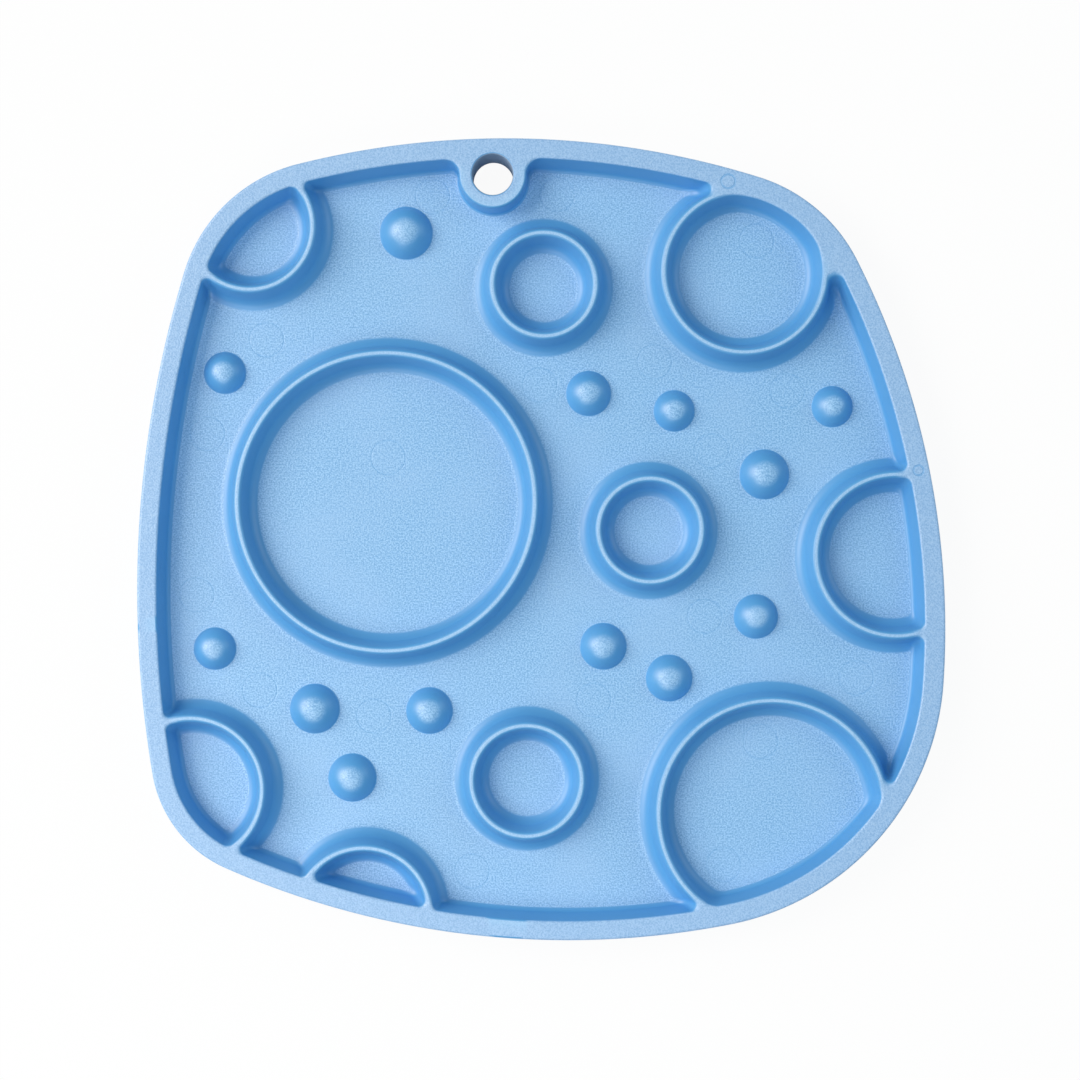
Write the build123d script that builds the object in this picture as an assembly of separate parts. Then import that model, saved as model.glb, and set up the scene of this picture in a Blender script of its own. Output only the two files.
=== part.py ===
"""Lick mat: a moulded rubbery pet mat with a raised rim, ring walls, domed nubs and a hanging eyelet.

The origin is the middle of the underside, +Z is up, and the hanging eyelet is on the +Y side.
Every raised feature stands on the top face of the base sheet. All sizes are in millimetres.
"""

import os
from math import radians, sin, tan

from build123d import *

# Plan outline: four bowed sides between four corner points, which are then rounded.
TOP_LEFT = (-84.0, 89.0)
TOP_RIGHT = (72.0, 86.5)
BOTTOM_RIGHT = (94.0, -84.0)
BOTTOM_LEFT = (-96.0, -76.5)
TOP_BULGE = 14.5
RIGHT_BULGE = 18.5
BOTTOM_BULGE = 22.0
LEFT_BULGE = 12.5
TOP_LEFT_R = 40.5
TOP_RIGHT_R = 42.0
BOTTOM_RIGHT_R = 67.5
BOTTOM_LEFT_R = 32.0

# Base sheet and rim.
FLOOR_T = 5.0
BASE_EDGE_R = 0.8
RIM_H = 7.0
RIM_W = 4.8
RIM_DRAFT = 15.0
RIM_EDGE_R = 0.7

# Hanging eyelet: a round lobe on the inside of the rim with a hole right through the mat.
HOLE_X = -12.5
HOLE_INSET = 9.25
HOLE_R = 5.2
EYELET_R = 8.0
EYELET_BLEND_R = 1.2

# Cross-section of every ring wall: a narrow bevelled crest, drafted flanks and a coved toe.
RING_H = 7.0
CREST_W = 2.0
CREST_BEVEL = 0.5
FLANK_DRAFT = 23.0
TOE_RUN = 1.2
TOE_SLOPE = 20.0
TOE_R = 2.0

# Ring walls as centre X, centre Y and radius of the crest line.
FULL_RINGS = {
    "large_ring": (-39.7, 9.5, 38.0),
    "small_ring_top": (0.6, 65.0, 13.2),
    "small_ring_middle": (27.7, 2.3, 13.2),
    "small_ring_bottom": (-3.8, -61.7, 14.1),
}

# Ring walls that run into the rim, in the same form.
EDGE_RINGS = {
    "corner_ring_top_left": (-74.5, 79.8, 16.1),
    "corner_ring_top_right": (51.8, 68.3, 20.6),
    "edge_ring_right": (90.6, -4.1, 20.6),
    "corner_ring_bottom_right": (58.9, -70.2, 29.0),
    "edge_ring_bottom": (-45.4, -95.7, 16.9),
    "corner_ring_bottom_left": (-89.7, -64.1, 18.4),
}

# Domed nubs as centre X, centre Y and base diameter, from the top of the mat to the bottom.
NUB_BASE_SLOPE = 70.0
NUBS = [
    (-35.0, 79.1, 13.4),
    (-81.8, 43.0, 10.6),
    (12.1, 37.7, 11.4),
    (34.2, 33.2, 10.4),
    (75.0, 34.3, 10.4),
    (57.5, 16.8, 12.6),
    (55.3, -19.9, 11.2),
    (15.9, -27.6, 11.8),
    (-84.4, -28.2, 10.7),
    (32.9, -35.8, 11.8),
    (-58.6, -43.7, 12.6),
    (-29.0, -44.2, 11.8),
    (-48.9, -61.5, 12.2),
]

RIM_TOP = FLOOR_T + RIM_H
CUT_PAST = 1.0


def side_disc(start, end, bulge, inset):
    """The disc whose edge is one bowed side, between two corners taken clockwise."""
    start, end = Vector(*start), Vector(*end)
    chord = end - start
    radius = (chord.length**2 / 4 + bulge**2) / (2 * bulge)
    outward = chord.rotate(Axis.Z, 90).normalized()
    centre = (start + end) / 2 + outward * (bulge - radius)
    return Pos(*centre) * Circle(radius - inset)


def mat_outline(inset=0):
    """The plan outline, moved in by the inset: what four large discs share, with rounded corners."""
    corners = [TOP_LEFT, TOP_RIGHT, BOTTOM_RIGHT, BOTTOM_LEFT]
    bulges = [TOP_BULGE, RIGHT_BULGE, BOTTOM_BULGE, LEFT_BULGE]
    radii = [TOP_LEFT_R, TOP_RIGHT_R, BOTTOM_RIGHT_R, BOTTOM_LEFT_R]
    ends = corners[1:] + corners[:1]
    discs = [side_disc(*side, inset) for side in zip(corners, ends, bulges)]
    shape = discs[0] & discs[1] & discs[2] & discs[3]
    for corner, radius in zip(corners, radii):
        vertex = shape.vertices().sort_by_distance(corner)[0]
        shape = fillet(vertex, radius - inset)
    return shape


def hole_place():
    """Where the hanging hole stands, set in from the mat's top edge."""
    upright = Line((HOLE_X, 0), (HOLE_X, TOP_LEFT[1] + TOP_RIGHT[1]))
    edge_point = mat_outline().wire() & upright
    return Pos(HOLE_X, edge_point.Y - HOLE_INSET)


def hollow_plan(depth):
    """Plan of the space inside the rim at a depth below the rim's top."""
    run = depth * tan(radians(RIM_DRAFT))
    rise = (RIM_H - depth) * tan(radians(RIM_DRAFT))
    lobe_r = EYELET_R + run
    lobe = hole_place() * Circle(lobe_r)
    plan = mat_outline(RIM_W + run) - lobe
    notches = lobe.edge() & mat_outline(RIM_W + run).wire()
    vertices = [plan.vertices().sort_by_distance(point)[0] for point in notches]
    return fillet(vertices, EYELET_BLEND_R + rise)


def rim_hollow():
    """The space inside the rim, with drafted walls and the eyelet's lobe standing in from the edge."""
    top = Pos(0, 0, RIM_TOP + CUT_PAST) * hollow_plan(-CUT_PAST)
    bottom = Pos(0, 0, FLOOR_T - CUT_PAST) * hollow_plan(RIM_H + CUT_PAST)
    return loft([bottom, top], ruled=True)


def hang_hole():
    """The hole's cutter, through the rim and the base sheet."""
    return hole_place() * Pos(0, 0, RIM_TOP / 2) * Cylinder(HOLE_R, RIM_TOP + 2 * CUT_PAST)


def base_sheet(outline):
    """The flat sheet under everything, with its lower edge rounded."""
    sheet = extrude(outline, amount=FLOOR_T)
    sheet = fillet(sheet.faces().sort_by(Axis.Z)[0].edges(), BASE_EDGE_R)
    return sheet - hang_hole()


def rim(outline, hollow):
    """The raised border with the eyelet, with its outer top edge rounded."""
    wall = extrude(Pos(0, 0, FLOOR_T) * outline, amount=RIM_H)
    wall = fillet(wall.faces().sort_by(Axis.Z)[-1].edges(), RIM_EDGE_R)
    return wall - hollow - hang_hole()


def ring_section(crest_r):
    """Half cross-section of a ring wall on the XZ plane, at its distance from the ring's axis."""
    toe_h = TOE_RUN * tan(radians(TOE_SLOPE))
    crest = CREST_W / 2
    knee = crest + (RING_H - toe_h) * tan(radians(FLANK_DRAFT))
    foot = knee + TOE_RUN
    half = [(foot, 0), (knee, toe_h), (crest, RING_H)]
    points = half + [(-x, z) for x, z in reversed(half)]
    section = make_face(Polyline([(crest_r + x, z) for x, z in points], close=True))
    tops = section.vertices().filter_by(lambda v: v.Y > RING_H / 2)
    section = chamfer(tops, CREST_BEVEL)
    knees = section.vertices().filter_by(lambda v: toe_h / 2 < v.Y < RING_H / 2)
    return Plane.XZ * fillet(knees, TOE_R)


def ring(x, y, crest_r):
    """A whole ring wall standing on the base sheet."""
    return Pos(x, y, FLOOR_T) * revolve(ring_section(crest_r), Axis.Z)


def nub(x, y, diameter):
    """A domed nub: a cap of a ball that meets the base sheet at the base slope."""
    ball_r = diameter / 2 / sin(radians(NUB_BASE_SLOPE))
    height = diameter / 2 * tan(radians(NUB_BASE_SLOPE / 2))
    ball = Pos(x, y, FLOOR_T + height - ball_r) * Sphere(ball_r)
    return split(ball, Plane.XY.offset(FLOOR_T), keep=Keep.TOP)


outline = mat_outline()
hollow = rim_hollow()
pieces = {
    "floor_sheet": base_sheet(outline),
    "rim_wall": rim(outline, hollow),
}
for name, place in FULL_RINGS.items():
    pieces[name] = ring(*place)
for name, place in EDGE_RINGS.items():
    pieces[name] = ring(*place) & hollow
for number, place in enumerate(NUBS, 1):
    pieces[f"lick_nub_{number:02d}"] = nub(*place)

os.makedirs("parts", exist_ok=True)
for name, solid in pieces.items():
    export_step(solid, f"parts/{name}.step")
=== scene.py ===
import bmesh
import bpy
import numpy as np
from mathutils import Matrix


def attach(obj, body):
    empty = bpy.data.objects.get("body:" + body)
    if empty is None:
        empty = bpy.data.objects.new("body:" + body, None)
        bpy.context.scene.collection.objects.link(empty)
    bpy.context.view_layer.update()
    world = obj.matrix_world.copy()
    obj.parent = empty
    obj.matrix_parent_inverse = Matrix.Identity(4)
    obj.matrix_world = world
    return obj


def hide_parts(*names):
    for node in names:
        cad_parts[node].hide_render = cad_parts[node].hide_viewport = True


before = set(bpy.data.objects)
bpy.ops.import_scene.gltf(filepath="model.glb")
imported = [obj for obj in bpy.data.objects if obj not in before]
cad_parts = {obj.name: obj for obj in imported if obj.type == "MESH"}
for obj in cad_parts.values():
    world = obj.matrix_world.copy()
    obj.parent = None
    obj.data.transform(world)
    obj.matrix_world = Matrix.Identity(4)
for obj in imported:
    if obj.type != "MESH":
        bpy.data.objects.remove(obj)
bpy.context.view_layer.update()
bpy.ops.object.select_all(action="DESELECT")

# The whole mat is one moulding in a soft, satin blue rubbery plastic. The mould is blasted on its flat faces,
# so floor, rim and nub tops come out frosted with a fine grain, and its polished walls are smoother and deeper.
# The lighter colour of the flat faces, the rim's lips and its outer edge is partly that frosting and partly a
# painted sheen, and on the nub tops partly a painted highlight. The rim is scuffed, the ring crests carry a
# painted pale highlight, and the wall of the hanging hole has a painted grey shade.
WALL_BLUE = (0.087, 0.348, 0.700, 1)
WALL_DEEP = (0.078, 0.328, 0.676, 1)
# Frosted colours: partly the blasted finish, partly a painted sheen on the faces that look up.
FROST_SHEEN_DARK = (0.172, 0.400, 0.718, 1)
FROST_SHEEN_LIGHT = (0.366, 0.636, 0.950, 1)
FROST_SHEEN_BLOOM = (0.355, 0.580, 0.890, 1)
LAND_DARK = (0.255, 0.458, 0.760, 1)
LAND_LIGHT = (0.385, 0.592, 0.890, 1)
# Pale colour painted on the ring crests as a highlight.
HIGHLIGHT_PALE = (0.380, 0.680, 1.000, 1)
SCUFF_PALE = (0.440, 0.640, 0.900, 1)
# Grey painted on the hanging hole's wall as shade.
HOLE_SHADE_GREY = (0.280, 0.395, 0.570, 1)
GRAIN = {"Scale": 2400, "Detail": 1.5, "Roughness": 0.6}
CLOUDS = {"Scale": 45, "Detail": 3, "Roughness": 0.5}
SCUFFS = {"Scale": 900, "Detail": 4, "Roughness": 0.65}
SPECK_FROM, SPECK_TO = 0.33, 0.67
DRIFT_FROM, DRIFT_TO = 0.3, 0.7
BLOOM_FROM, BLOOM_TO, BLOOM_SHARE = 0.4, 0.8, 0.4
SCUFF_FROM, SCUFF_TO, SCUFF_SHARE = 0.54, 0.70, 0.45
LAND_FROM, LAND_TO = 0.0112, 0.0119
NUB_FROM, NUB_TO = 0.0062, 0.0072
DOME_FROM, DOME_TO = 0.82, 0.99
FLAT_FROM, FLAT_TO = 0.945, 0.9995
HIGHLIGHT_PAINT_SHARE = 0.35
WALL_ROUGHNESS, FROST_ROUGHNESS = 0.46, 0.44
WALL_RELIEF, FROST_RELIEF, GRAIN_DEPTH = 0.03, 0.90, 0.00012
mat_rubber = bpy.data.materials.new("satin_blue_rubber")
mat_rubber.use_nodes = True
rubber = mat_rubber.node_tree
skin = rubber.nodes["Principled BSDF"]
skin.inputs["Specular IOR Level"].default_value = 1.0


def add_node(tree, kind, **settings):
    """Adds a node to a material, with its settings."""
    node = tree.nodes.new(kind)
    for setting, value in settings.items():
        setattr(node, setting, value)
    return node


def combine(tree, operation, first, second):
    """The result of a sum on two values, each a plain number or another node's output."""
    node = add_node(tree, "ShaderNodeMath", operation=operation)
    for socket, value in zip(node.inputs, (first, second)):
        if isinstance(value, float):
            socket.default_value = value
        else:
            tree.links.new(value, socket)
    return node.outputs[0]


def ramp_between(source, low, high, start=0.0, end=1.0):
    """A smooth step of a value between two levels, from one result to another."""
    step = add_node(rubber, "ShaderNodeMapRange", interpolation_type="SMOOTHSTEP")
    rubber.links.new(source, step.inputs["Value"])
    for socket, value in zip(("From Min", "From Max", "To Min", "To Max"), (low, high, start, end)):
        step.inputs[socket].default_value = value
    return step.outputs["Result"]


def blend_colours(share, first, second):
    """A mix of two colours, each a plain colour or another node's output."""
    mix = add_node(rubber, "ShaderNodeMix", data_type="RGBA")
    rubber.links.new(share, mix.inputs["Factor"])
    for socket, colour in ((mix.inputs[6], first), (mix.inputs[7], second)):
        if isinstance(colour, tuple):
            socket.default_value = colour
        else:
            rubber.links.new(colour, socket)
    return mix.outputs[2]


def noise(settings):
    """A noise all through the mat, on its own coordinates."""
    pattern = add_node(rubber, "ShaderNodeTexNoise")
    for socket, value in settings.items():
        pattern.inputs[socket].default_value = value
    rubber.links.new(place.outputs["Object"], pattern.inputs["Vector"])
    return pattern.outputs["Fac"]


def marked(name):
    """The value that a mesh carries at its points under this name."""
    return add_node(rubber, "ShaderNodeAttribute", attribute_name=name).outputs["Fac"]


place = add_node(rubber, "ShaderNodeTexCoord")
grain, clouds, scuffs = noise(GRAIN), noise(CLOUDS), noise(SCUFFS)
facing = add_node(rubber, "ShaderNodeNewGeometry")
upright = add_node(rubber, "ShaderNodeSeparateXYZ")
flatness = add_node(rubber, "ShaderNodeMath", operation="ABSOLUTE")
height = add_node(rubber, "ShaderNodeSeparateXYZ")
rubber.links.new(facing.outputs["Normal"], upright.inputs[0])
rubber.links.new(upright.outputs["Z"], flatness.inputs[0])
rubber.links.new(place.outputs["Object"], height.inputs[0])

land = ramp_between(height.outputs["Z"], LAND_FROM, LAND_TO)
domed = combine(rubber, "SUBTRACT", ramp_between(height.outputs["Z"], NUB_FROM, NUB_TO), land)
# Nub tops take the frosted colour, there partly the blasted finish and partly a painted highlight.
dome_frost_and_highlight = combine(rubber, "MULTIPLY", ramp_between(flatness.outputs[0], DOME_FROM, DOME_TO), domed)
# Upward-facing flats take the lighter frosted colour: the blasted finish together with a painted sheen.
blasted_and_sheen = combine(rubber, "MAXIMUM", ramp_between(flatness.outputs[0], FLAT_FROM, FLAT_TO), dome_frost_and_highlight)
# Rim lips and the outer edge join the frosted colour, with its painted sheen.
frost_and_sheen = combine(rubber, "MAXIMUM", blasted_and_sheen, marked("frosted_edge_and_sheen"))
# The pale crest colour is a painted highlight.
crest_highlight_share = combine(rubber, "MULTIPLY", marked("painted_crest_highlight"), HIGHLIGHT_PAINT_SHARE)

speck = ramp_between(grain, SPECK_FROM, SPECK_TO)
drift = ramp_between(clouds, DRIFT_FROM, DRIFT_TO)
bloom = ramp_between(clouds, BLOOM_FROM, BLOOM_TO, 0.0, BLOOM_SHARE)
rubbed = ramp_between(scuffs, SCUFF_FROM, SCUFF_TO, 0.0, SCUFF_SHARE)
floor_frost_and_sheen = blend_colours(bloom, blend_colours(speck, FROST_SHEEN_DARK, FROST_SHEEN_LIGHT), FROST_SHEEN_BLOOM)
land_frost_and_sheen = blend_colours(rubbed, blend_colours(speck, LAND_DARK, LAND_LIGHT), SCUFF_PALE)
wall_blue = blend_colours(drift, WALL_DEEP, WALL_BLUE)
skin_colour = blend_colours(frost_and_sheen, wall_blue, blend_colours(land, floor_frost_and_sheen, land_frost_and_sheen))
highlit_colour = blend_colours(crest_highlight_share, skin_colour, HIGHLIGHT_PALE)
# The hanging hole's wall gets a painted grey shade.
rubber.links.new(blend_colours(marked("painted_hole_shade"), highlit_colour, HOLE_SHADE_GREY), skin.inputs["Base Color"])

relief = add_node(rubber, "ShaderNodeBump")
relief.inputs["Distance"].default_value = GRAIN_DEPTH
rubber.links.new(ramp_between(frost_and_sheen, 0.0, 1.0, WALL_RELIEF, FROST_RELIEF), relief.inputs["Strength"])
rubber.links.new(grain, relief.inputs["Height"])
rubber.links.new(relief.outputs["Normal"], skin.inputs["Normal"])
roughness = ramp_between(frost_and_sheen, 0.0, 1.0, WALL_ROUGHNESS, FROST_ROUGHNESS)
rubber.links.new(roughness, skin.inputs["Roughness"])

# The tray is the base sheet with the raised rim, the hanging eyelet and the ring walls that run into the rim.
# It is the body of the moulding: walls stand 7 mm over a 5 mm floor, and every foot and crest is rounded.
# Shallow round marks on the floor and the rim are left by the pins that push the mat out of its mould.
mm = 0.001
FLOOR_Z = 5.0
LAND_Z = 12.0
WALL_H = LAND_Z - FLOOR_Z
# Centre, radius and first turn of the outward normal, in degrees, of each arc of the outline.
OUTLINE_ARCS = [
    (178.388, -13.210, 281.592, 163.215),
    (-67.727, -54.731, 32.000, 189.576),
    (6.669, 114.032, 216.433, 246.211),
    (35.279, -32.128, 67.500, 281.075),
    (-105.875, -23.121, 208.941, 356.349),
    (43.069, 52.278, 42.000, 386.850),
    (-9.246, -114.821, 217.097, 432.616),
    (-52.432, 56.414, 40.500, 464.155),
]
arc_x, arc_y, arc_r, arc_turn = np.array(OUTLINE_ARCS).T
arc_end = np.append(arc_turn[1:], arc_turn[0] + 360)
arc_length = arc_r * np.radians(arc_end - arc_turn)
EYELET = (-12.5, 93.0, 8.0)
EYELET_BENDS = (4.0, 3.7)
HOLE_R = 5.2
# Centre and crest radius of each ring that runs into the rim, and the bends at its two tips.
EDGE_RINGS = {
    "corner_ring_bottom_left": (-89.7, -64.1, 18.4),
    "edge_ring_bottom": (-45.4, -95.7, 16.9),
    "corner_ring_bottom_right": (58.9, -70.2, 29.0),
    "edge_ring_right": (90.6, -4.1, 20.6),
    "corner_ring_top_right": (51.8, 68.3, 20.6),
    "corner_ring_top_left": (-74.5, 79.8, 16.1),
}
TIP_BENDS = ((1.5, 1.5), (1.8, 1.8), (1.6, 1.6), (1.8, 1.8), (2.2, 1.9), (1.5, 1.5))
# A point inside the well of each such ring, the width of the rim's land beside it and its corner radius.
WELLS = {
    "corner_ring_bottom_left": (-86.0, -64.0, 4.55, 1.3),
    "edge_ring_bottom": (-45.0, -86.5, 4.65, 2.2),
    "corner_ring_bottom_right": (60.0, -68.0, 4.75, 1.3),
    "edge_ring_right": (89.0, -4.1, 4.75, 1.3),
    "corner_ring_top_right": (51.8, 68.3, 4.9, 1.6),
    "corner_ring_top_left": (-74.0, 79.0, 4.55, 1.3),
}
CREST_HALF = 0.15
CREST_ROUND = 0.90
LIP_ROUND = 0.60
RIM_LAND = 4.45
RIGHT_LAND = 0.40
RIGHT_SWING = 70
WALL_LEAN = np.radians(75)
RIM_LEAN = np.radians(77.5)
EYELET_LEAN = np.radians(87)
FLANK_COVE = 3.5
WELL_COVE = 3.0
RIM_COVE = 1.4
EYELET_COVE = 0.8
LAND_MARGIN = 0.12
FLOOR_MARGIN = 0.15
COARSE_STEPS, FINE_STEPS = 6, 60


def wall_section(round_r, lean, cove_r, steps):
    """Run and height of a wall from its flat top down to the floor: a round, a straight flank and a cove."""
    over = np.linspace(0, lean, steps)
    under = np.linspace(lean, 0, 2 * steps - 1)
    foot_z = cove_r * (1 - np.cos(lean))
    head_z = WALL_H - round_r * (1 - np.cos(lean))
    head_x = round_r * np.sin(lean)
    foot_x = head_x + (head_z - foot_z) / np.tan(lean)
    run = foot_x + cove_r * np.sin(lean)
    down = np.linspace(0, 1, steps)[1:-1]
    x = [round_r * np.sin(over), head_x + down * (foot_x - head_x), run - cove_r * np.sin(under)]
    z = [WALL_H - round_r * (1 - np.cos(over)), head_z + down * (foot_z - head_z), cove_r * (1 - np.cos(under))]
    return np.concatenate(x), np.concatenate(z)


def runs_at(heights, round_r, lean, cove_r):
    """A wall's runs at these heights, with a loop beyond them on the land and another on the floor."""
    run, height = wall_section(round_r, lean, cove_r, FINE_STEPS)
    run = np.interp(heights, height[::-1], run[::-1])
    return np.concatenate([[-LAND_MARGIN], run, [run[-1] + FLOOR_MARGIN]])


section_z = wall_section(CREST_ROUND, WALL_LEAN, FLANK_COVE, COARSE_STEPS)[1]
flank_x = runs_at(section_z, CREST_ROUND, WALL_LEAN, FLANK_COVE)
well_x = runs_at(section_z, CREST_ROUND, WALL_LEAN, WELL_COVE)
rim_x = runs_at(section_z, LIP_ROUND, RIM_LEAN, RIM_COVE)
eyelet_x = runs_at(section_z, LIP_ROUND, EYELET_LEAN, EYELET_COVE)
flank_z = np.concatenate([[WALL_H], section_z, [0]])


def rim_line(turn, inset):
    """Points of the mat's outline moved in by the inset, at these turns of its outward normal in degrees."""
    turn = (turn - arc_turn[0]) % 360 + arc_turn[0]
    arc = np.searchsorted(arc_turn, turn, side="right") - 1
    reach = arc_r[arc] - inset
    angle = np.radians(turn)
    return np.column_stack([arc_x[arc] + reach * np.cos(angle), arc_y[arc] + reach * np.sin(angle)])


def rim_ruler():
    """Turns of the outline's normal and the length along the outline at each, over three times round."""
    turns = np.append(arc_turn, arc_end[-1])
    lengths = np.append(0, np.cumsum(arc_length))
    turns = np.concatenate([turns[:-1] - 360, turns[:-1], turns + 360])
    lengths = np.concatenate([lengths[:-1] - lengths[-1], lengths[:-1], lengths + lengths[-1]])
    return turns, lengths


def rim_depth(points):
    """How far inside the mat's outline each point is."""
    depth = np.zeros(len(points))
    for x, y, radius, turn, end in zip(arc_x, arc_y, arc_r, arc_turn, arc_end):
        off = points - (x, y)
        swing = (np.degrees(np.arctan2(off[:, 1], off[:, 0])) - turn) % 360
        here = swing <= end - turn + 1e-9
        depth[here] = radius - np.hypot(off[here, 0], off[here, 1])
    return depth


def right_land(turn):
    """How much wider the rim's land is at a turn of the outline's normal: most on the mat's right side."""
    swing = np.clip(((turn + 180) % 360 - 180) / RIGHT_SWING, -1, 1)
    return RIGHT_LAND * (0.5 + 0.5 * np.cos(np.pi * swing))


def rounded(first, second, radius):
    """Depth into a pocket from two of its walls, with the corner between them rounded."""
    near_first = np.maximum(radius - first, 0)
    near_second = np.maximum(radius - second, 0)
    return radius - np.hypot(near_first, near_second)


TRIAL_ANGLES = 1440
HALVINGS = 40
PAST_RING = 10
BEND_WEIGHT = 3.0
WELL_SPACING = 0.75


def well_loops(name):
    """The loops down the wall of the well inside one edge ring, from the land to the floor."""
    x, y, crest_r = EDGE_RINGS[name]
    middle_x, middle_y, land_width, corner_r = WELLS[name]
    middle = np.array([middle_x, middle_y])

    def loop(angles, run, rim_run):
        """The well's edge seen from its middle, closed in on by halving."""
        ways = np.column_stack([np.cos(angles), np.sin(angles)])
        near, far = np.zeros(len(angles)), np.full(len(angles), 2 * crest_r + PAST_RING)
        for _ in range(HALVINGS):
            half = (near + far) / 2
            points = middle + ways * half[:, None]
            from_rim = rim_depth(points) - land_width - rim_run
            from_ring = crest_r - CREST_HALF - run - np.hypot(points[:, 0] - x, points[:, 1] - y)
            inside = rounded(from_rim, from_ring, corner_r) > 0
            near, far = np.where(inside, half, near), np.where(inside, far, half)
        return middle + ways * near[:, None]

    trial = np.linspace(0, 2 * np.pi, TRIAL_ANGLES, endpoint=False)
    edge = loop(trial, 0.0, 0.0)
    step = np.roll(edge, -1, axis=0) - edge
    heading = np.unwrap(np.arctan2(step[:, 1], step[:, 0]))
    weight = np.hypot(step[:, 0], step[:, 1]) + BEND_WEIGHT * np.abs(np.gradient(heading))
    measure = np.append(0, np.cumsum(weight))
    count = int(measure[-1] / WELL_SPACING)
    angles = np.interp(np.arange(count) * measure[-1] / count, measure, np.append(trial, 2 * np.pi))
    return [
        np.column_stack([loop(angles, run, rim_run), np.full(count, FLOOR_Z + z)])
        for run, rim_run, z in zip(well_x, rim_x, flank_z)
    ]


def meeting_points(first, first_r, second, second_r):
    """Where two circles cross."""
    way = np.subtract(second, first)
    apart = np.hypot(*way)
    along = (apart**2 + first_r**2 - second_r**2) / (2 * apart)
    if abs(along) >= first_r:
        return []
    aside = np.sqrt(first_r**2 - along**2) * np.array([-way[1], way[0]]) / apart
    foot = first + way * along / apart
    return [foot + aside, foot - aside]


def sweep(middle, radius, start, stop, count, sense):
    """Points of an arc from one angle towards another, turning left for a sense of 1 and right for -1."""
    swing = (sense * (stop - start)) % (2 * np.pi)
    angles = start + sense * swing * np.arange(count) / count
    return np.column_stack([middle[0] + radius * np.cos(angles), middle[1] + radius * np.sin(angles)])


def bearing(start, end):
    """Direction from one point to another, in radians."""
    return np.arctan2(end[1] - start[1], end[0] - start[0])


WALK_FROM = 176
RIM_SPACING = 0.9
BEND_POINTS = 8
POINTS_PER_MM = 5.0


def blend_corner(middle, wall_r, inset, bend, side):
    """The rim's turn at a tip, and the centre of the bend there between the rim's wall and a round wall."""
    wider = 0.0
    for _ in range(2):
        found = []
        for x, y, radius, start, end in zip(arc_x, arc_y, arc_r, arc_turn, arc_end):
            hub = np.array([x, y])
            for point in meeting_points(hub, radius - inset - wider - bend, middle, wall_r + bend):
                turn = (np.degrees(bearing(hub, point)) - start) % 360 + start
                if turn < end:
                    found.append(((turn - WALK_FROM) % 360 + WALK_FROM, tuple(point)))
        corner = sorted(found)[side]
        wider = right_land(corner[0])
    return corner


def field_loops():
    """The loops down the wall of the main field: along the rim, round each edge ring and round the eyelet."""
    bumps = [
        ((x, y), crest_r + CREST_HALF, flank_x, bends)
        for (x, y, crest_r), bends in zip(EDGE_RINGS.values(), TIP_BENDS)
    ]
    bumps.insert(-1, (EYELET[:2], EYELET[2], eyelet_x, EYELET_BENDS))
    turns_along, lengths_along = rim_ruler()
    counts = None
    loops = []
    for step, z in enumerate(flank_z):
        inset = RIM_LAND + rim_x[step]
        sharpen = 0.5 + 0.5 * z / WALL_H
        corners = [
            [blend_corner(middle, top_r + runs[step], inset, bend * sharpen, side) for side, bend in enumerate(bends)]
            for middle, top_r, runs, bends in bumps
        ]
        spans = [(corners[n - 1][1][0] - (0 if n else 360), corners[n][0][0]) for n in range(len(bumps))]
        ends = [np.interp(span, turns_along, lengths_along) for span in spans]
        if counts is None:
            counts = [int((end - start) / RIM_SPACING) for start, end in ends]
        pieces = []
        for (middle, top_r, runs, bends), tips, (start, end), count in zip(bumps, corners, ends, counts):
            (enter, first), (leave, last) = tips
            turns = np.interp(np.linspace(start, end, count, endpoint=False), lengths_along, turns_along)
            first_r, last_r = (bend * sharpen for bend in bends)
            round_count = int(POINTS_PER_MM * top_r)
            pieces += [
                rim_line(turns, inset + right_land(turns)),
                sweep(first, first_r, np.radians(enter), bearing(first, middle), BEND_POINTS, 1),
                sweep(middle, top_r + runs[step], bearing(middle, first), bearing(middle, last), round_count, -1),
                sweep(last, last_r, bearing(last, middle), np.radians(leave), BEND_POINTS, 1),
            ]
        points = np.concatenate(pieces)
        loops.append(np.column_stack([points, np.full(len(points), FLOOR_Z + z)]))
    return loops


shell = bmesh.new()
painted_crest_highlight = shell.verts.layers.float.new("painted_crest_highlight")
frosted_edge_and_sheen = shell.verts.layers.float.new("frosted_edge_and_sheen")
painted_hole_shade = shell.verts.layers.float.new("painted_hole_shade")
# Share of the painted crest highlight on each loop of a wall, from the crest down.
CREST_HIGHLIGHT_PAINT = (1.0, 1.0, 0.5, 0.0, 0.0)
# Rim lips and the outer edge take the frosted colour: partly the blasted finish, partly a painted sheen along the
# edges.
LIP_FROST_AND_SHEEN = (1.0, 1.0, 1.0, 0.8, 0.4)
OUTER_FROST_AND_SHEEN = (1.0, 1.0, 1.0, 0.9, 0.75, 0.5, 0.25)
EDGE_HIGHLIGHT_PAINT = (0.0,) * len(OUTER_FROST_AND_SHEEN)
RIM_SIDE = 6
RIM_FADE = 3


def add_wall(loops, crest_highlight=(), rim_frost_and_sheen=()):
    """Joins loops of the same number of points into a wall, with a painted crest highlight and, where it edges the
    rim, a frosted colour that is partly painted sheen.
    """
    rows = [[shell.verts.new(point) for point in loop] for loop in loops]
    for row, loop, highlight_mark, frost_and_sheen_share in zip(rows, loops, crest_highlight, rim_frost_and_sheen):
        off_rim = np.clip((rim_depth(loop[:, :2]) - RIM_SIDE) / RIM_FADE, 0, 1)
        for vert, share in zip(row, off_rim):
            vert[painted_crest_highlight] = highlight_mark * share
            vert[frosted_edge_and_sheen] = frost_and_sheen_share * (1 - share)
    for upper, lower in zip(rows, rows[1:]):
        for here in range(len(upper)):
            shell.faces.new((upper[here - 1], upper[here], lower[here], lower[here - 1]))


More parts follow.
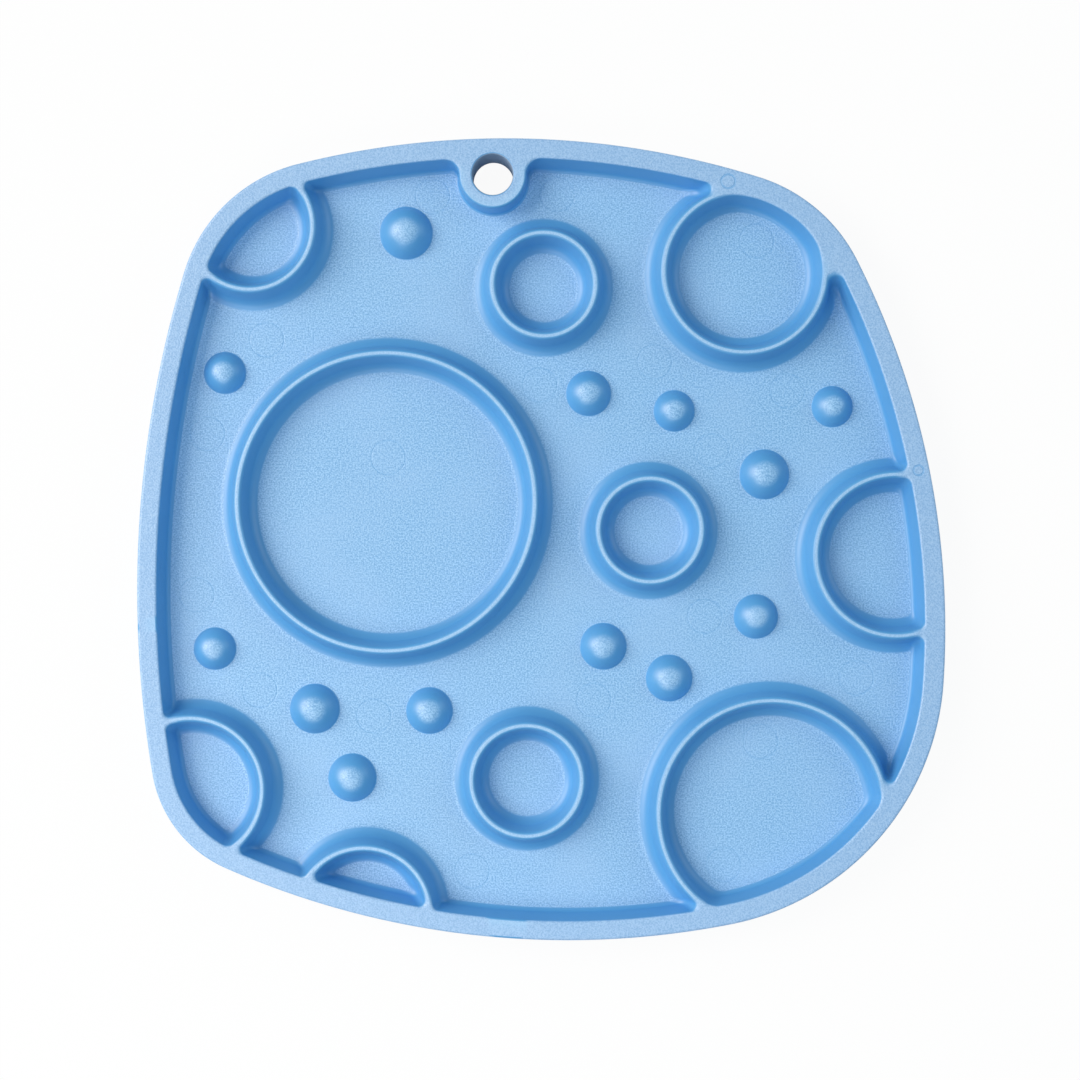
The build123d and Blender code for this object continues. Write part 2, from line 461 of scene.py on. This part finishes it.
for name in EDGE_RINGS:
    add_wall(well_loops(name), CREST_HIGHLIGHT_PAINT, LIP_FROST_AND_SHEEN)
add_wall(field_loops(), CREST_HIGHLIGHT_PAINT, LIP_FROST_AND_SHEEN)

EDGE_POINTS = 760
EDGE_ROUND = 0.65
BASE_ROUND = 0.8
EDGE_BAND = [11.1, 1.05]
turns_along, lengths_along = rim_ruler()
edge_turns = np.interp(np.arange(EDGE_POINTS) * arc_length.sum() / EDGE_POINTS, lengths_along, turns_along)
curl = np.linspace(0, np.pi / 2, 6)
edge_inset = np.concatenate([
    [EDGE_ROUND + LAND_MARGIN], EDGE_ROUND * (1 - np.sin(curl)), [0, 0],
    BASE_ROUND * (1 - np.cos(curl)), [BASE_ROUND + FLOOR_MARGIN],
])
edge_z = np.concatenate([
    [LAND_Z], LAND_Z - EDGE_ROUND * (1 - np.cos(curl)), EDGE_BAND, BASE_ROUND * (1 - np.sin(curl)), [0],
])
edge_loops = [
    np.column_stack([rim_line(edge_turns, inset), np.full(EDGE_POINTS, z)]) for inset, z in zip(edge_inset, edge_z)
]
add_wall(edge_loops, EDGE_HIGHLIGHT_PAINT, OUTER_FROST_AND_SHEEN)

HOLE_POINTS = 96
HOLE_ROUND = 0.5
HOLE_BAND = [11.3, 0.7]
HOLE_SHADE_PAST = 0.2
hole_turns = np.linspace(0, 2 * np.pi, HOLE_POINTS, endpoint=False)
curl = np.linspace(0, np.pi / 2, 5)
hole_r = HOLE_R + np.concatenate([
    [HOLE_ROUND + LAND_MARGIN], HOLE_ROUND * (1 - np.sin(curl)), [0, 0],
    HOLE_ROUND * (1 - np.cos(curl)), [HOLE_ROUND + LAND_MARGIN],
])
hole_z = np.concatenate([
    [LAND_Z], LAND_Z - HOLE_ROUND * (1 - np.cos(curl)), HOLE_BAND, HOLE_ROUND * (1 - np.sin(curl)), [0],
])
hole_x = EYELET[0] + np.outer(hole_r, np.cos(hole_turns))
hole_y = EYELET[1] + np.outer(hole_r, np.sin(hole_turns))
add_wall([np.column_stack([x, y, np.full(HOLE_POINTS, z)]) for x, y, z in zip(hole_x, hole_y, hole_z)])
# The hole's wall is marked for its painted grey shade.
for vert in shell.verts:
    if np.hypot(vert.co.x - EYELET[0], vert.co.y - EYELET[1]) < HOLE_R + HOLE_SHADE_PAST:
        vert[painted_hole_shade] = 1.0

tray_mesh = bpy.data.meshes.new("tray")
shell.to_mesh(tray_mesh)
shell.free()
tray = bpy.data.objects.new("tray", tray_mesh)
bpy.context.scene.collection.objects.link(tray)
bpy.context.view_layer.objects.active = tray
tray.select_set(True)
bpy.ops.object.mode_set(mode="EDIT")
PIN_MARKS = [
    (-28.1, 88.72), (-71.0, 51.6), (-39.6, 21.2), (4.1, 89.2), (55.6, 77.2), (29.2, 45.9), (63.5, 38.4),
    (43.9, 22.9), (-0.4, 39.9), (-17.9, -85.7), (13.5, -41.5), (56.6, -52.2), (81.3, -35.7), (-72.8, -38.9),
    (-43.3, -45.6), (42.2, -19.8), (47.1, -84.0), (-89.0, -14.3), (-86.2, 27.3),
]
PIN_R = 4.75
PIN_GROOVE = 0.07
RIM_MARKS = [(47.6, 91.2, 2.1), (96.1, 17.5, 1.6)]
RIM_GROOVE = 0.10
MARK_BORDER, GROOVE_SIDE, GROOVE_FLOOR = 0.1, 0.18, 0.08
marks = [(x, y, PIN_R, FLOOR_Z, PIN_GROOVE) for x, y in PIN_MARKS]
marks += [(x, y, radius, LAND_Z, RIM_GROOVE) for x, y, radius in RIM_MARKS]
for x, y, radius, z, groove in marks:
    bpy.ops.mesh.select_all(action="DESELECT")
    bpy.ops.mesh.primitive_circle_add(vertices=64, radius=radius, fill_type="NGON", location=(x, y, z))
    bpy.ops.mesh.inset(thickness=MARK_BORDER, depth=0.0)
    bpy.ops.mesh.inset(thickness=GROOVE_SIDE, depth=-groove)
    bpy.ops.mesh.inset(thickness=GROOVE_FLOOR, depth=0.0)
    bpy.ops.mesh.inset(thickness=GROOVE_SIDE, depth=groove)
    bpy.ops.mesh.inset(thickness=MARK_BORDER, depth=0.0)
for level in (LAND_Z, FLOOR_Z, 0.0):
    edit = bmesh.from_edit_mesh(tray_mesh)
    bpy.ops.mesh.select_all(action="DESELECT")
    for edge in edit.edges:
        if len(edge.link_faces) == 1 and all(abs(vert.co.z - level) < 1e-4 for vert in edge.verts):
            edge.select_set(True)
    bmesh.update_edit_mesh(tray_mesh)
    bpy.ops.mesh.fill(use_beauty=True)
bpy.ops.mesh.select_all(action="SELECT")
bpy.ops.mesh.remove_doubles(threshold=1e-4)
bpy.ops.mesh.normals_make_consistent(inside=False)
bpy.ops.mesh.faces_shade_smooth()
bpy.ops.transform.resize(value=(mm, mm, mm), center_override=(0, 0, 0))
bpy.ops.object.mode_set(mode="OBJECT")
tray.data.materials.append(mat_rubber)
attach(tray, "root")
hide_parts("floor_sheet", "rim_wall", *EDGE_RINGS)

# The free ring walls stand on the floor sheet and are moulded with it. Each has the section of the edge rings:
# a narrow crest with rounded edges, drafted flanks and a coved foot that runs out into the floor.
RINGS = {
    "large_ring": (-39.7, 9.5, 38.0, 288),
    "small_ring_top": (0.6, 65.0, 13.2, 144),
    "small_ring_middle": (27.7, 2.3, 13.2, 144),
    "small_ring_bottom": (-3.8, -61.7, 14.1, 144),
}
RING_SKIRT = 0.5
SKIRT_TOP = FLOOR_Z - 0.006
SKIRT_BOTTOM = FLOOR_Z - 0.2
HIGHLIGHT_PAINT_DOWN = 0.1


def turned(name, x, y, sides, profile):
    """A round piece drawn up from a circle, one extruded band for each step of its profile of radius and height."""
    bpy.ops.object.select_all(action="DESELECT")
    radius, height = profile[0]
    bpy.ops.mesh.primitive_circle_add(vertices=sides, radius=radius * mm, location=(x * mm, y * mm, height * mm))
    piece = bpy.context.object
    piece.name = name
    piece.data.name = name
    bpy.ops.object.transform_apply(location=True, rotation=True, scale=True)
    bpy.ops.object.mode_set(mode="EDIT")
    bpy.ops.mesh.select_all(action="SELECT")
    for next_radius, next_height in profile[1:]:
        bpy.ops.mesh.extrude_edges_move(TRANSFORM_OT_translate={"value": (0, 0, (next_height - height) * mm)})
        wider = next_radius / radius
        bpy.ops.transform.resize(value=(wider, wider, 1), center_override=(x * mm, y * mm, next_height * mm))
        radius, height = next_radius, next_height
    return piece


def finish_round(piece):
    """Closes a round piece's bottom, merges its doubles, turns its faces outwards and gives it the mat's rubber."""
    bpy.ops.mesh.select_all(action="DESELECT")
    edit = bmesh.from_edit_mesh(piece.data)
    for edge in edit.edges:
        edge.select_set(len(edge.link_faces) == 1)
    bmesh.update_edit_mesh(piece.data)
    bpy.ops.mesh.fill(use_beauty=True)
    bpy.ops.mesh.select_all(action="SELECT")
    bpy.ops.mesh.remove_doubles(threshold=1e-7)
    bpy.ops.mesh.normals_make_consistent(inside=False)
    bpy.ops.mesh.faces_shade_smooth()
    bpy.ops.object.mode_set(mode="OBJECT")
    piece.data.materials.append(mat_rubber)
    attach(piece, "root")


for name, (x, y, crest_r, sides) in RINGS.items():
    outer = [(crest_r + CREST_HALF + run, FLOOR_Z + z) for run, z in zip(flank_x[:-1], flank_z[:-1])]
    inner = [(crest_r - CREST_HALF - run, FLOOR_Z + z) for run, z in zip(well_x[:-1], flank_z[:-1])]
    outer += [(outer[-1][0] + RING_SKIRT, z) for z in (SKIRT_TOP, SKIRT_BOTTOM)]
    inner += [(inner[-1][0] - RING_SKIRT, z) for z in (SKIRT_TOP, SKIRT_BOTTOM)]
    ring = turned(name + "_wall", x, y, sides, inner[::-1] + outer)
    finish_round(ring)
    # The top of each ring's crest is marked for its painted highlight.
    highlight_mark = ring.data.attributes.new("painted_crest_highlight", "FLOAT", "POINT")
    for vert, mark in zip(ring.data.vertices, highlight_mark.data):
        mark.value = min(max((vert.co.z / mm - LAND_Z) / HIGHLIGHT_PAINT_DOWN + 1, 0), 1)
    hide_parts(name)

# The domed nubs between the rings are caps of a ball, moulded on the floor with a crisp foot.
# Each is about 0.7 times as high as its radius, with only a small cove where it meets the floor.
NUBS = [
    (-35.0, 79.1, 13.4), (-81.8, 43.0, 10.6), (12.1, 37.7, 11.4), (34.2, 33.2, 10.4), (75.0, 34.3, 10.4),
    (57.5, 16.8, 12.6), (55.3, -19.9, 11.2), (15.9, -27.6, 11.8), (-84.4, -28.2, 10.7), (32.9, -35.8, 11.8),
    (-58.6, -43.7, 12.6), (-29.0, -44.2, 11.8), (-48.9, -61.5, 12.2),
]
NUB_SLOPE = np.radians(70)
NUB_COVE_R = 0.35
NUB_SKIRT = 0.2
NUB_SIDES = 64
for number, (x, y, across) in enumerate(NUBS, 1):
    ball_r = across / 2 / np.sin(NUB_SLOPE)
    middle_z = FLOOR_Z - ball_r * np.cos(NUB_SLOPE)
    foot_r = across / 2 + NUB_COVE_R * np.tan(NUB_SLOPE / 2)
    foot = [(foot_r + NUB_SKIRT, SKIRT_BOTTOM), (foot_r + NUB_SKIRT, SKIRT_TOP)]
    cove = [
        (foot_r - NUB_COVE_R * np.sin(angle), FLOOR_Z + NUB_COVE_R * (1 - np.cos(angle)))
        for angle in np.linspace(0, NUB_SLOPE, 5)
    ]
    lift = np.arccos((cove[-1][1] - middle_z) / ball_r)
    dome = [
        (ball_r * np.sin(angle), middle_z + ball_r * np.cos(angle)) for angle in np.linspace(lift, 0, 16)[1:-1]
    ]
    nub = turned(f"nub_{number:02d}", x, y, NUB_SIDES, foot + cove + dome)
    rise = (middle_z + ball_r - dome[-1][1]) * mm
    bpy.ops.mesh.extrude_edges_move(TRANSFORM_OT_translate={"value": (0, 0, rise)})
    bpy.ops.mesh.merge(type="CENTER")
    finish_round(nub)
    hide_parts(f"lick_nub_{number:02d}")

# The set is a plain white sweep under the mat in a cool white room. A large warm lamp on the left draws the shadows
# beside the walls, a small soft box hangs near the mat and a cool lamp on the right fills the shadows a little.
# The camera looks straight down from half a metre.
PAPER_WHITE = (0.85, 0.85, 0.85, 1)
GLOW_SHARE = 0.94
UNDER_MAT = 0.11
ROOM_COOL = (0.62, 0.88, 1.0, 1)
ROOM_LIGHT = 0.345
bpy.ops.object.select_all(action="DESELECT")
bpy.ops.mesh.primitive_plane_add(size=6, location=(0, 0, -0.0002))
floor = bpy.context.object
floor.name = "floor"
white = bpy.data.materials.new("white_sweep")
white.use_nodes = True
sheet = white.node_tree
paper = sheet.nodes["Principled BSDF"]
paper.inputs["Base Color"].default_value = PAPER_WHITE
paper.inputs["Roughness"].default_value = 0.9
glow = add_node(sheet, "ShaderNodeEmission")
glow.inputs["Strength"].default_value = 1.0
seen = add_node(sheet, "ShaderNodeLightPath")
spot = add_node(sheet, "ShaderNodeTexCoord")
reach = add_node(sheet, "ShaderNodeVectorMath", operation="LENGTH")
sheet.links.new(spot.outputs["Object"], reach.inputs[0])
clear = combine(sheet, "GREATER_THAN", reach.outputs["Value"], UNDER_MAT)
mirrored = combine(sheet, "MAXIMUM", seen.outputs["Is Glossy Ray"], seen.outputs["Is Transmission Ray"])
uncovered = combine(sheet, "MULTIPLY", mirrored, clear)
shown = combine(sheet, "MAXIMUM", seen.outputs["Is Camera Ray"], uncovered)
mix = add_node(sheet, "ShaderNodeMixShader")
sheet.links.new(combine(sheet, "MULTIPLY", shown, GLOW_SHARE), mix.inputs["Fac"])
sheet.links.new(paper.outputs[0], mix.inputs[1])
sheet.links.new(glow.outputs[0], mix.inputs[2])
sheet.links.new(mix.outputs[0], sheet.nodes["Material Output"].inputs["Surface"])
floor.data.materials.append(white)

world = bpy.data.worlds.new("studio")
bpy.context.scene.world = world
world.use_nodes = True
room = world.node_tree.nodes["Background"]
room.inputs["Color"].default_value = ROOM_COOL
room.inputs["Strength"].default_value = ROOM_LIGHT


def studio_lamp(name, location, side, energy, tint):
    """A square soft box that looks at the mat."""
    light = bpy.data.lights.new(name, "AREA")
    light.shape = "SQUARE"
    light.size = side
    light.energy = energy
    light.color = tint
    lamp = bpy.data.objects.new(name, light)
    lamp.location = location
    lamp.rotation_euler = (-lamp.location).to_track_quat("-Z", "Y").to_euler()
    bpy.context.scene.collection.objects.link(lamp)


studio_lamp("overhead_box", location=(-0.20, -0.32, 0.46), side=0.3, energy=0.95, tint=(1.0, 1.0, 1.0))
studio_lamp("right_fill", location=(1.45, 0.55, 0.90), side=0.9, energy=5.5, tint=(0.8, 0.95, 1.0))
studio_lamp("left_lamp", location=(-1.55, 0.45, 1.35), side=1.3, energy=41.0, tint=(0.98, 0.86, 0.75))

lens = bpy.data.cameras.new("camera")
lens.lens = 67.6
lens.sensor_width = 36
lens.shift_x = -0.0093
lens.shift_y = 0.0324
camera = bpy.data.objects.new("camera", lens)
camera.location = (0.00217, -0.00918, 0.529)
bpy.context.scene.collection.objects.link(camera)
bpy.context.scene.camera = camera
bpy.context.scene.view_settings.view_transform = "Standard"
